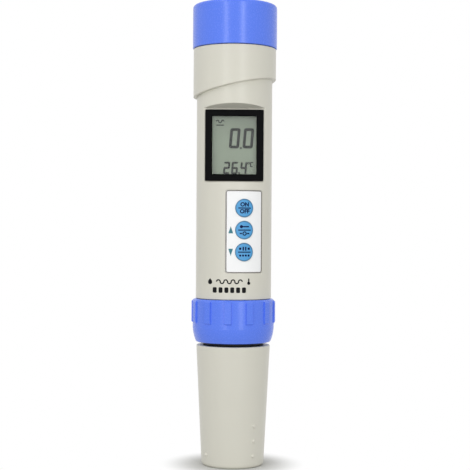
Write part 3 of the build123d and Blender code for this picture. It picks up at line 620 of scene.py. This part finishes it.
class METER_OT_finishes(bpy.types.Operator):
    """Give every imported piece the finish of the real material"""

    bl_idname = "meter.finishes"
    bl_label = "Finishes"

    def execute(self, context):
        colours = context.scene.meter_colours

        # Spark-eroded ABS moulding: matt, with a fine grain that softens the light bands
        put_on(SLOTS["casing_grey"], finish(
            "moulded ABS, grey", colours.casing,
            roughness=0.36, grain=0.35, bump=0.006, drift=0.02, patch=22.0,
        ))
        # Polished ABS moulding: smoother than the casing, with clearer light bands
        put_on(SLOTS["trim_blue"], finish(
            "moulded ABS, blue", colours.trim,
            roughness=0.26, grain=0.5, bump=0.004, drift=0.03, patch=15.0,
        ))
        # Moulded nitrile seal: black and dull, with a dusty bloom
        put_on(SLOTS["seal_rubber"], finish(
            "nitrile rubber", linear("#17171A"),
            roughness=0.5, grain=0.2, bump=0.006, drift=0.15, patch=2.0,
        ))
        # Glass-filled nylon sled: charcoal with a faint flow pattern
        put_on(SLOTS["sled_plastic"], finish(
            "glass-filled nylon", linear("#2B2D31"),
            roughness=0.5, grain=0.4, bump=0.01, drift=0.1, patch=4.0,
        ))
        # Nickel-plated steel cans, polished while they turn: bright, with fine rings
        put_on(SLOTS["cell_steel"], finish(
            "nickel-plated steel", linear("#C9C7C0"),
            roughness=0.24, grain=0.5, bump=0.004, metallic=1.0, stretch=(1, 1, 6),
        ))
        # Rolled nickel silver strip: satin, with fine rolling marks
        put_on(SLOTS["contact_nickel"], finish(
            "rolled nickel silver", linear("#CFC9B8"),
            roughness=0.3, grain=0.4, bump=0.004, metallic=1.0, stretch=(6, 1, 1),
        ))
        put_on(SLOTS["board_green"], solder_mask("solder mask on glass epoxy"))
        # Transfer-moulded epoxy: dark and granular
        put_on(SLOTS["chip_black"], finish(
            "moulded epoxy", linear("#1E1F21"),
            roughness=0.6, grain=0.25, bump=0.01, drift=0.1, patch=3.0,
        ))
        # Drawn steel can: satin, with faint rings from the drawing
        put_on(SLOTS["can_steel"], finish(
            "drawn steel can", linear("#BDBDBB"),
            roughness=0.28, grain=0.6, bump=0.005, metallic=1.0, stretch=(1, 1, 5),
        ))
        # Natural nylon: cream, waxy
        put_on(SLOTS["connector_cream"], finish(
            "natural nylon", linear("#DCD2B6"),
            roughness=0.42, grain=0.4, bump=0.005, drift=0.05, patch=3.0,
        ))
        # Thin hard gold over nickel: warm yellow and bright
        put_on(SLOTS["pin_gold"], finish(
            "gold plate", linear("#D9B25B"),
            roughness=0.2, grain=0.3, bump=0.003, metallic=1.0,
        ))
        # Moulded white ABS: pale and even, with a low sheen
        put_on(SLOTS["holder_white"], finish(
            "moulded ABS, white", linear("#E4E5E1"),
            roughness=0.45, grain=0.4, bump=0.005,
        ))
        put_on(SLOTS["display_grey_green"], display_film(colours))
        put_on(SLOTS["strip_rubber"], layered_rubber("layered silicone rubber"))
        # Zinc-plated steel: cool grey, neither bright nor dull
        put_on(SLOTS["screw_steel"], finish(
            "zinc-plated steel", linear("#C3C5C8"),
            roughness=0.32, grain=0.3, bump=0.005, metallic=1.0,
        ))
        # Spark-eroded black ABS: dark, with hardly any gloss
        put_on(SLOTS["frame_black"], finish(
            "moulded ABS, black", colours.bezel,
            roughness=0.35, grain=0.4, bump=0.004, drift=0.2, patch=6.0, specular=0.06,
        ))
        put_on(SLOTS["window_clear"], window_acrylic("cast acrylic"))
        # The clear pane would otherwise darken the display behind it
        frame["nodes"]["display_window"].visible_shadow = False
        # Polyester film with silver printed on it: straw-coloured and faintly patchy
        put_on(SLOTS["circuit_film"], finish(
            "polyester film", linear("#C9C3A4"),
            roughness=0.35, grain=0.8, bump=0.004, drift=0.1, patch=1.2,
        ))
        # Finely textured polyester: soft white with hardly any gloss
        put_on(SLOTS["film_white"], finish(
            "textured polyester film", colours.keypad,
            roughness=0.5, grain=0.3, bump=0.005, drift=0.01, patch=8.0,
        ))
        for node in SLOTS["key_blue"]:
            put_on([node], key_lacquer(colours, node))
        # Moulded ABS of the probe: black, with a soft sheen
        put_on(SLOTS["probe_black"], finish(
            "moulded ABS, probe", linear("#1A1B1E"),
            roughness=0.32, grain=0.4, bump=0.006, drift=0.12, patch=5.0,
        ))
        # Ground titanium: satin, with the grinding marks round it
        put_on(SLOTS["electrode_metal"], finish(
            "ground titanium", linear("#B4B1AA"),
            roughness=0.34, grain=0.3, bump=0.005, metallic=1.0, stretch=(1, 1, 6),
        ))
        return {"FINISHED"}


class METER_OT_reading(bpy.types.Operator):
    """Add the two large digits with their point"""

    bl_idname = "meter.reading"
    bl_label = "Reading"

    def execute(self, context):
        sizes = context.scene.meter_sizes
        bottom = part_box("display_window")[0].z + sizes.digit_bottom
        pieces = []
        for number in range(2):
            pieces += digit(
                "0", sizes.digit_left + number * sizes.digit_pitch, bottom,
                sizes.digit_width, sizes.digit_height, sizes.digit_stroke,
            )
        # The point stands low, and a little to the left, as the leaning digits' feet do
        stroke = sizes.digit_stroke
        point_radius, point_left, point_lift = stroke * 0.38, stroke * 0.2, stroke * 0.12
        between = sizes.digit_left + (sizes.digit_width + sizes.digit_pitch) / 2
        pieces.append(moved(disc(point_radius), between - point_left, bottom + point_lift))
        displayed(pieces, "display_reading", "liquid crystal, reading")
        return {"FINISHED"}


class METER_OT_temperature(bpy.types.Operator):
    """Add the small digits, their point and the degree mark"""

    bl_idname = "meter.temperature"
    bl_label = "Temperature"

    def degree_mark(self, top):
        """Ring and letter, hung from the line along the digits' top."""
        ring_radius, ring_stroke = 0.38 * MM, 0.34 * MM
        ring_middle, ring_drop = 5.75 * MM, 0.5 * MM
        left, width, height, stroke = 6.3 * MM, 1.3 * MM, 2.1 * MM, 0.45 * MM
        degree = moved(ring(ring_radius, ring_stroke), ring_middle, top - ring_drop)
        return [degree] + digit("C", left, top - height, width, height, stroke)

    def execute(self, context):
        sizes = context.scene.meter_sizes
        foot = 0.4 * MM
        lefts = (-4.3 * MM, -1.1 * MM, 2.45 * MM)
        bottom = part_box("display_window")[0].z + foot
        pieces = []
        for character, left in zip("264", lefts):
            pieces += digit(
                character, left, bottom, sizes.small_width, sizes.small_height,
                sizes.small_stroke,
            )
        point_radius, point_lift = sizes.small_stroke * 0.5, sizes.small_stroke * 0.6
        between = (lefts[1] + sizes.small_width + lefts[2]) / 2
        pieces.append(moved(disc(point_radius), between, bottom + point_lift))
        pieces += self.degree_mark(bottom + sizes.small_height)
        displayed(pieces, "display_temperature", "liquid crystal, small digits")
        return {"FINISHED"}


class METER_OT_water_mark(bpy.types.Operator):
    """Add the small wave mark at the display's upper left"""

    bl_idname = "meter.water_mark"
    bl_label = "Wave mark"

    def execute(self, context):
        radius, stroke = 0.5 * MM, 0.45 * MM
        left, drop = -6.7 * MM, 2.3 * MM
        line_width, line_drop = 3.1 * MM, 2.9 * radius
        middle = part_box("display_window")[1].z - drop
        line = moved(bar(line_width, stroke), left + 2 * radius, middle - line_drop)
        crests = wave(3, radius, stroke, left, middle, steps=8)
        displayed([line] + crests, "display_wave_mark", "liquid crystal, mark")
        return {"FINISHED"}


class METER_OT_key_marks(bpy.types.Operator):
    """Print ON and OFF on the upper key and plain signs on the other two"""

    bl_idname = "meter.key_marks"
    bl_label = "Key marks"

    def word(self, letters, middle):
        """Bold word as a flat mesh in the XZ plane."""
        height, boldness = 1.55 * MM, 0.09 * MM
        capital_share = 0.7
        piece = started(bpy.ops.object.text_add, rotation=UPRIGHT)
        piece.data.body = letters
        piece.data.size = height / capital_share
        piece.data.align_x = "CENTER"
        piece.data.align_y = "CENTER"
        piece.data.offset = boldness
        piece.data.resolution_u = 3
        only(piece)
        bpy.ops.object.convert(target="MESH")
        return moved(settled(piece), z=middle)

    def thermometer(self, middle):
        """Thermometer lying on its side."""
        length, stroke, corner, tube_side = 2.9 * MM, 0.5 * MM, 0.2 * MM, 0.4 * MM
        bulb_radius, bulb_side = 0.62 * MM, -1.3 * MM
        return [
            moved(bar(length, stroke, corner), tube_side, middle),
            moved(disc(bulb_radius), bulb_side, middle),
        ]

    def target(self, middle):
        """Ring between two dashes, for setting a value."""
        radius, stroke = 0.66 * MM, 0.42 * MM
        dash_width, dash_height, dash_side = 0.9 * MM, 0.5 * MM, 1.5 * MM
        pieces = [moved(ring(radius, stroke), z=middle)]
        for side in (-1, 1):
            pieces.append(moved(bar(dash_width, dash_height), side * dash_side, middle))
        return pieces

    def pause(self, middle):
        """Two upright bars between two squares."""
        bar_width, bar_height, bar_side = 0.55 * MM, 1.5 * MM, 0.5 * MM
        square, corner, square_side = 0.9 * MM, 0.15 * MM, 1.75 * MM
        pieces = []
        for side in (-1, 1):
            pieces.append(moved(bar(bar_width, bar_height), side * bar_side, middle))
            pieces.append(moved(bar(square, square, corner), side * square_side, middle))
        return pieces

    def dots(self, middle):
        """Row of four dots."""
        count, radius, pitch = 4, 0.42 * MM, 1.15 * MM
        return [
            moved(disc(radius, sides=20), (number - (count - 1) / 2) * pitch, middle)
            for number in range(count)
        ]

    def execute(self, context):
        navy = ink("key ink", context.scene.meter_colours.key_ink)
        row = 1.35 * MM
        divider_width, divider_height = 5.1 * MM, 0.42 * MM
        signs = {
            "upper_key": [self.word("ON", row), self.word("OFF", -row)],
            "middle_key": self.thermometer(row) + self.target(-row),
            "lower_key": self.pause(row) + self.dots(-row),
        }
        for node, pieces in signs.items():
            low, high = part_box(node)
            divider = bar(divider_width, divider_height)
            mark = joined(pieces + [divider], node.replace("key", "key_mark"))
            moved(mark, z=(low.z + high.z) / 2)
            printed(mark, node, low.y - BEFORE, context.scene.meter_sizes.key_turn)
            dressed(mark, navy, node)
        return {"FINISHED"}


class METER_OT_keypad_gap_shadow(bpy.types.Operator):
    """Paint a thin dark line round the edge of the keypad film, as painted shadow of the gap round
    it
    """

    bl_idname = "meter.keypad_line"
    bl_label = "Keypad gap shadow"

    def execute(self, context):
        sizes = context.scene.meter_sizes
        low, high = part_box("keypad_overlay")
        margin = 0.06 * MM
        width = sizes.film_width - 2 * margin
        height = high.z - low.z - 2 * margin
        outline = bar(width, height, sizes.film_corner, rounds=5)
        bpy.ops.object.mode_set(mode="EDIT")
        bpy.ops.mesh.select_mode(type="FACE")
        bpy.ops.mesh.select_all(action="SELECT")
        bpy.ops.mesh.inset(thickness=sizes.film_shadow_width, depth=0.0)
        bpy.ops.mesh.delete(type="FACE")
        bpy.ops.object.mode_set(mode="OBJECT")
        moved(outline, z=(low.z + high.z) / 2)
        named(outline, "keypad_gap_shadow")
        printed(outline, "keypad_overlay", low.y - BEFORE, sizes.film_turn)
        # The line is painted shadow of the gap round the film, laid on as ink
        dressed(outline, ink("painted keypad gap shadow", context.scene.meter_colours.keypad_gap_shadow),
                "housing")
        return {"FINISHED"}


class METER_OT_keypad_arrows(bpy.types.Operator):
    """Print an arrow up and an arrow down beside the keys"""

    bl_idname = "meter.keypad_arrows"
    bl_label = "Keypad arrows"

    def arrow(self, up):
        """Triangle round the origin that points up for 1 and down for -1."""
        width, height = 1.85 * MM, 2.8 * MM
        piece = started(
            bpy.ops.mesh.primitive_circle_add, vertices=3, radius=1.0, fill_type="TRIFAN",
            rotation=UPRIGHT,
        )
        settled(piece)
        low, high = Vector(piece.bound_box[0]), Vector(piece.bound_box[6])
        spread = high - low
        piece.data.transform(Matrix.Translation(-(low + high) / 2))
        piece.data.transform(
            Matrix.Diagonal((width / spread.x, 1.0, up * height / spread.z, 1.0))
        )
        return piece

    def execute(self, context):
        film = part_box("keypad_overlay")[0]
        from_edge, lift = 2.15 * MM, 0.1 * MM
        pieces = []
        for node, up in (("middle_key", 1), ("lower_key", -1)):
            low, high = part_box(node)
            pieces.append(
                moved(self.arrow(up), film.x + from_edge, (low.z + high.z) / 2 + up * lift)
            )
        arrows = joined(pieces, "keypad_arrows")
        printed(arrows, "keypad_overlay", film.y - BEFORE)
        dressed(arrows, ink("arrow ink", context.scene.meter_colours.arrow_ink), "housing")
        return {"FINISHED"}


class METER_OT_casing_marks(bpy.types.Operator):
    """Print plain signs for water, waves and warmth, with a level scale, below the keypad"""

    bl_idname = "meter.casing_marks"
    bl_label = "Casing marks"

    def water_drop(self, x, z):
        """Drop of water: a disc under a stretched point."""
        radius, side, stretch, lift = 0.8 * MM, 1.13 * MM, 1.35, 0.5 * MM
        belly = disc(radius)
        tip = bar(side, side)
        tip.data.transform(Matrix.Rotation(math.pi / 4, 4, "Y"))
        tip.data.transform(Matrix.Diagonal((1.0, 1.0, stretch, 1.0)))
        moved(tip, z=lift)
        return [moved(belly, x, z), moved(tip, x, z)]

    def thermometer(self, x, z):
        """Thermometer standing on its bulb."""
        bulb_radius, bulb_drop = 0.62 * MM, 0.6 * MM
        width, height, corner, lift = 0.5 * MM, 2.0 * MM, 0.2 * MM, 0.3 * MM
        return [
            moved(disc(bulb_radius), x, z - bulb_drop),
            moved(bar(width, height, corner), x, z + lift),
        ]

    def level_scale(self, x, z):
        """Row of six bold bars."""
        count, width, height, corner, pitch = 6, 1.55 * MM, 2.2 * MM, 0.3 * MM, 2.3 * MM
        return [
            moved(bar(width, height, corner), x + (number - (count - 1) / 2) * pitch, z)
            for number in range(count)
        ]

    def execute(self, context):
        middle, spread = -1.6 * MM, 7.6 * MM
        row_drop, scale_drop, water_drop = 3.5 * MM, 3.3 * MM, 0.3 * MM
        bends, radius, stroke = 7, 0.72 * MM, 0.5 * MM
        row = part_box("keypad_overlay")[0].z - row_drop
        pieces = self.water_drop(middle - spread, row - water_drop)
        pieces += wave(bends, radius, stroke, middle - (bends - 1) * radius, row, steps=10)
        pieces += self.thermometer(middle + spread, row)
        pieces += self.level_scale(middle, row - scale_drop)
        marks = joined(pieces, "casing_marks")
        printed(marks, "housing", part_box("housing")[0].y - BEFORE)
        dressed(marks, ink("casing ink", context.scene.meter_colours.casing_ink), "housing")
        return {"FINISHED"}


class METER_OT_threads(bpy.types.Operator):
    """Wind the threads of the neck, the spigot and their nuts"""

    bl_idname = "meter.threads"
    bl_label = "Threads"

    def wind(self, radius, outward, bottom, turns, sizes):
        """Ridge that tapers to its crest, wound round the axis.

        outward is 1 for a ridge on a neck and -1 for one in a bore.
        """
        steps_per_turn = 72
        steps = int(steps_per_turn * turns)
        # Half the depth, less a twentieth that sinks into the wall
        stand = sizes.thread_depth * 0.45
        piece = plane(sizes.thread_depth, sizes.thread_base)
        slim = (sizes.thread_base - sizes.thread_tip) / 2
        for vertex in piece.data.vertices:
            if vertex.co.x * outward > 0:
                vertex.co.z -= math.copysign(slim, vertex.co.z)
        moved(piece, radius + outward * stand, bottom)
        modified(
            piece, "SCREW", axis="Z", angle=math.tau * turns,
            screw_offset=sizes.thread_pitch * turns, iterations=1, steps=steps,
            render_steps=steps, use_merge_vertices=False,
        )
        return piece

    def closed(self, piece):
        """Closes the two ends of a ridge and points its faces outwards."""
        only(piece)
        bpy.ops.object.mode_set(mode="EDIT")
        bpy.ops.mesh.select_all(action="SELECT")
        bpy.ops.mesh.remove_doubles(threshold=TINY)
        bpy.ops.mesh.select_all(action="DESELECT")
        bpy.ops.mesh.select_mode(type="EDGE")
        bpy.ops.mesh.select_non_manifold()
        bpy.ops.mesh.edge_face_add()
        bpy.ops.mesh.select_all(action="SELECT")
        bpy.ops.mesh.normals_make_consistent(inside=False)
        bpy.ops.object.mode_set(mode="OBJECT")
        bpy.ops.object.shade_smooth_by_angle(angle=math.radians(30))
        return piece

    def execute(self, context):
        sizes = context.scene.meter_sizes
        # The threads start this far over the foot of the cap and of the collar
        neck_rise, spigot_rise = 3.6 * MM, 8.6 * MM
        neck_turns, spigot_turns = 2.5, 3.0
        # A nut's ridge runs in the groove between two turns of its neck's
        groove = sizes.thread_pitch / 2
        grey = frame["nodes"]["housing"].material_slots[0].material
        blue = frame["nodes"]["battery_cap"].material_slots[0].material
        joints = (
            ("neck_thread", "battery_cap_thread", "battery_cap", sizes.neck_radius, neck_rise,
             neck_turns),
            ("spigot_thread", "collar_thread", "collar", sizes.spigot_radius, spigot_rise,
             spigot_turns),
        )
        for male, female, nut, radius, rise, turns in joints:
            bore = radius + sizes.thread_room
            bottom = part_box(nut)[0].z + rise
            ridge = self.closed(self.wind(radius, 1, bottom, turns, sizes))
            dressed(named(ridge, male), grey, "housing")
            ridge = self.closed(self.wind(bore, -1, bottom + groove, turns, sizes))
            dressed(named(ridge, female), blue, nut)
        return {"FINISHED"}


class METER_OT_cell_gaskets(bpy.types.Operator):
    """Add the dark sealing ring between the can and lid of each button cell"""

    bl_idname = "meter.cell_gaskets"
    bl_label = "Cell gaskets"

    def execute(self, context):
        drop, inset, section_radius = 1.1 * MM, 1.0 * MM, 0.16 * MM
        pieces = []
        for node in SLOTS["cell_steel"]:
            low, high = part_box(node)
            gasket = started(
                bpy.ops.mesh.primitive_torus_add, location=(0, 0, high.z - drop),
                major_radius=(high.x - low.x) / 2 - inset, minor_radius=section_radius,
                major_segments=64, minor_segments=10,
            )
            pieces.append(settled(gasket))
        gaskets = joined(pieces, "cell_gaskets")
        bpy.ops.object.shade_smooth()
        # Moulded nylon under a coat of sealing pitch: dark brown and satin
        nylon = finish("nylon gasket", linear("#3A2F24"), roughness=0.5, grain=0.3, bump=0.004)
        dressed(gaskets, nylon, "battery_sled")
        return {"FINISHED"}


class METER_OT_studio(bpy.types.Operator):
    """Set up the camera, the floor, the background and the lamps"""

    bl_idname = "meter.studio"
    bl_label = "Studio"

    def seen(self, tree):
        """Socket that is 1 for what the camera sees, also in metal and through glass."""
        path = add(tree, "ShaderNodeLightPath")
        sees = path.outputs["Is Camera Ray"]
        for kind in ("Is Glossy Ray", "Is Transmission Ray"):
            sees = add(
                tree, "ShaderNodeMath", {"operation": "MAXIMUM"}, _0=sees, _1=path.outputs[kind]
            ).outputs[0]
        return sees

    def floor_material(self, studio):
        """Matt paper floor, which fades into the white background away from the meter."""
        material, tree, shader = new_material("matt paper")
        shader.inputs["Base Color"].default_value = studio.floor
        shader.inputs["Roughness"].default_value = 0.9
        white = add(tree, "ShaderNodeEmission", Color=studio.white, Strength=1.0)
        place = add(tree, "ShaderNodeTexCoord").outputs["Object"]
        reach = add(tree, "ShaderNodeVectorMath", {"operation": "LENGTH"}, _0=place)
        fade = add(
            tree, "ShaderNodeMapRange", {"interpolation_type": "SMOOTHSTEP"},
            Value=reach.outputs["Value"], From_Min=studio.fade_start, From_Max=studio.fade_end,
        )
        factor = add(
            tree, "ShaderNodeMath", {"operation": "MULTIPLY"}, _0=self.seen(tree),
            _1=fade.outputs[0],
        )
        both = add(
            tree, "ShaderNodeMixShader", _0=factor.outputs[0], _1=shader.outputs[0],
            _2=white.outputs[0],
        )
        output = next(n for n in tree.nodes if n.type == "OUTPUT_MATERIAL")
        tree.links.new(both.outputs[0], output.inputs["Surface"])
        return material

    def soft_lamp(self, name, turn, lift, power, distance, width, height, middle):
        """Soft lamp, turned round and lifted over the meter's middle, that points at it."""
        reach = distance * math.cos(lift)
        top = middle + distance * math.sin(lift)
        lamp = started(
            bpy.ops.object.light_add, type="AREA",
            location=(reach * math.sin(turn), -reach * math.cos(turn), top),
            rotation=(math.pi / 2 - lift, 0, turn),
        )
        lamp.name = name
        lamp.data.shape = "RECTANGLE"
        lamp.data.size = width
        lamp.data.size_y = height
        lamp.data.energy = power
        return lamp

    def execute(self, context):
        scene = context.scene
        studio = scene.meter_studio
        floor_size, lamp_distance = 6.0, 0.6
        # A camera with no turn looks down; this one looks level at the meter's front
        level = (math.pi / 2, 0, 0)
        camera = started(
            bpy.ops.object.camera_add,
            location=(studio.side, -studio.distance, studio.height), rotation=level,
        )
        camera.name = "camera"
        camera.rotation_euler.rotate_axis("Z", studio.roll)
        camera.data.lens = studio.lens
        camera.data.clip_start = 10 * MM
        scene.camera = camera

        floor = started(bpy.ops.mesh.primitive_plane_add, size=floor_size)
        floor.name = "floor"
        floor.data.materials.append(self.floor_material(studio))

        world = bpy.data.worlds.new("white studio")
        world.use_nodes = True
        tree = world.node_tree
        tree.nodes.clear()
        strength = add(
            tree, "ShaderNodeMapRange", Value=self.seen(tree), To_Min=studio.ambient, To_Max=1.0
        )
        light = add(
            tree, "ShaderNodeBackground", Color=studio.white, Strength=strength.outputs[0]
        )
        output = add(tree, "ShaderNodeOutputWorld")
        tree.links.new(light.outputs[0], output.inputs["Surface"])
        scene.world = world

        # Turn round the meter and lift in degrees, share of the power, width and height in metres
        middle = (CAD_BOX[0].z + CAD_BOX[1].z) / 2
        lamps = (
            ("left strip lamp", -23.5, 0.0, 0.85, 0.07, 0.7),
            ("right strip lamp", 21.5, 0.0, 1.0, 0.07, 0.7),
            ("upper lamp", -40.0, 48.0, 0.3, 0.16, 0.16),
        )
        for name, turn, lift, share, width, height in lamps:
            self.soft_lamp(
                name, math.radians(turn), math.radians(lift), share * studio.lamp, lamp_distance,
                width, height, middle,
            )
        scene.view_settings.view_transform = "Standard"
        return {"FINISHED"}


OPERATORS = (
    METER_OT_finishes,
    METER_OT_reading,
    METER_OT_temperature,
    METER_OT_water_mark,
    METER_OT_key_marks,
    METER_OT_keypad_gap_shadow,
    METER_OT_keypad_arrows,
    METER_OT_casing_marks,
    METER_OT_threads,
    METER_OT_cell_gaskets,
    METER_OT_studio,
)


class METER_PT_panel(bpy.types.Panel):
    """Buttons for each group of pieces and for the studio"""

    bl_idname = "METER_PT_panel"
    bl_label = "Pen meter"
    bl_space_type = "VIEW_3D"
    bl_region_type = "UI"
    bl_category = "Pen meter"

    def draw(self, context):
        for operator in OPERATORS:
            self.layout.operator(operator.bl_idname)


GROUPS = (MeterColours, MeterSizes, MeterStudio)


def register():
    """Registers the classes and hangs the settings on the scene."""
    for cls in GROUPS + OPERATORS + (METER_PT_panel,):
        bpy.utils.register_class(cls)
    bpy.types.Scene.meter_colours = bpy.props.PointerProperty(type=MeterColours)
    bpy.types.Scene.meter_sizes = bpy.props.PointerProperty(type=MeterSizes)
    bpy.types.Scene.meter_studio = bpy.props.PointerProperty(type=MeterStudio)


def unregister():
    """Takes back all that register did."""
    del bpy.types.Scene.meter_studio
    del bpy.types.Scene.meter_sizes
    del bpy.types.Scene.meter_colours
    for cls in reversed(GROUPS + OPERATORS + (METER_PT_panel,)):
        bpy.utils.unregister_class(cls)


def main():
    """Makes every piece and the studio."""
    register()
    for operator in OPERATORS:
        group, name = operator.bl_idname.split(".")
        getattr(getattr(bpy.ops, group), name)()


if __name__ == "__main__":
    main()
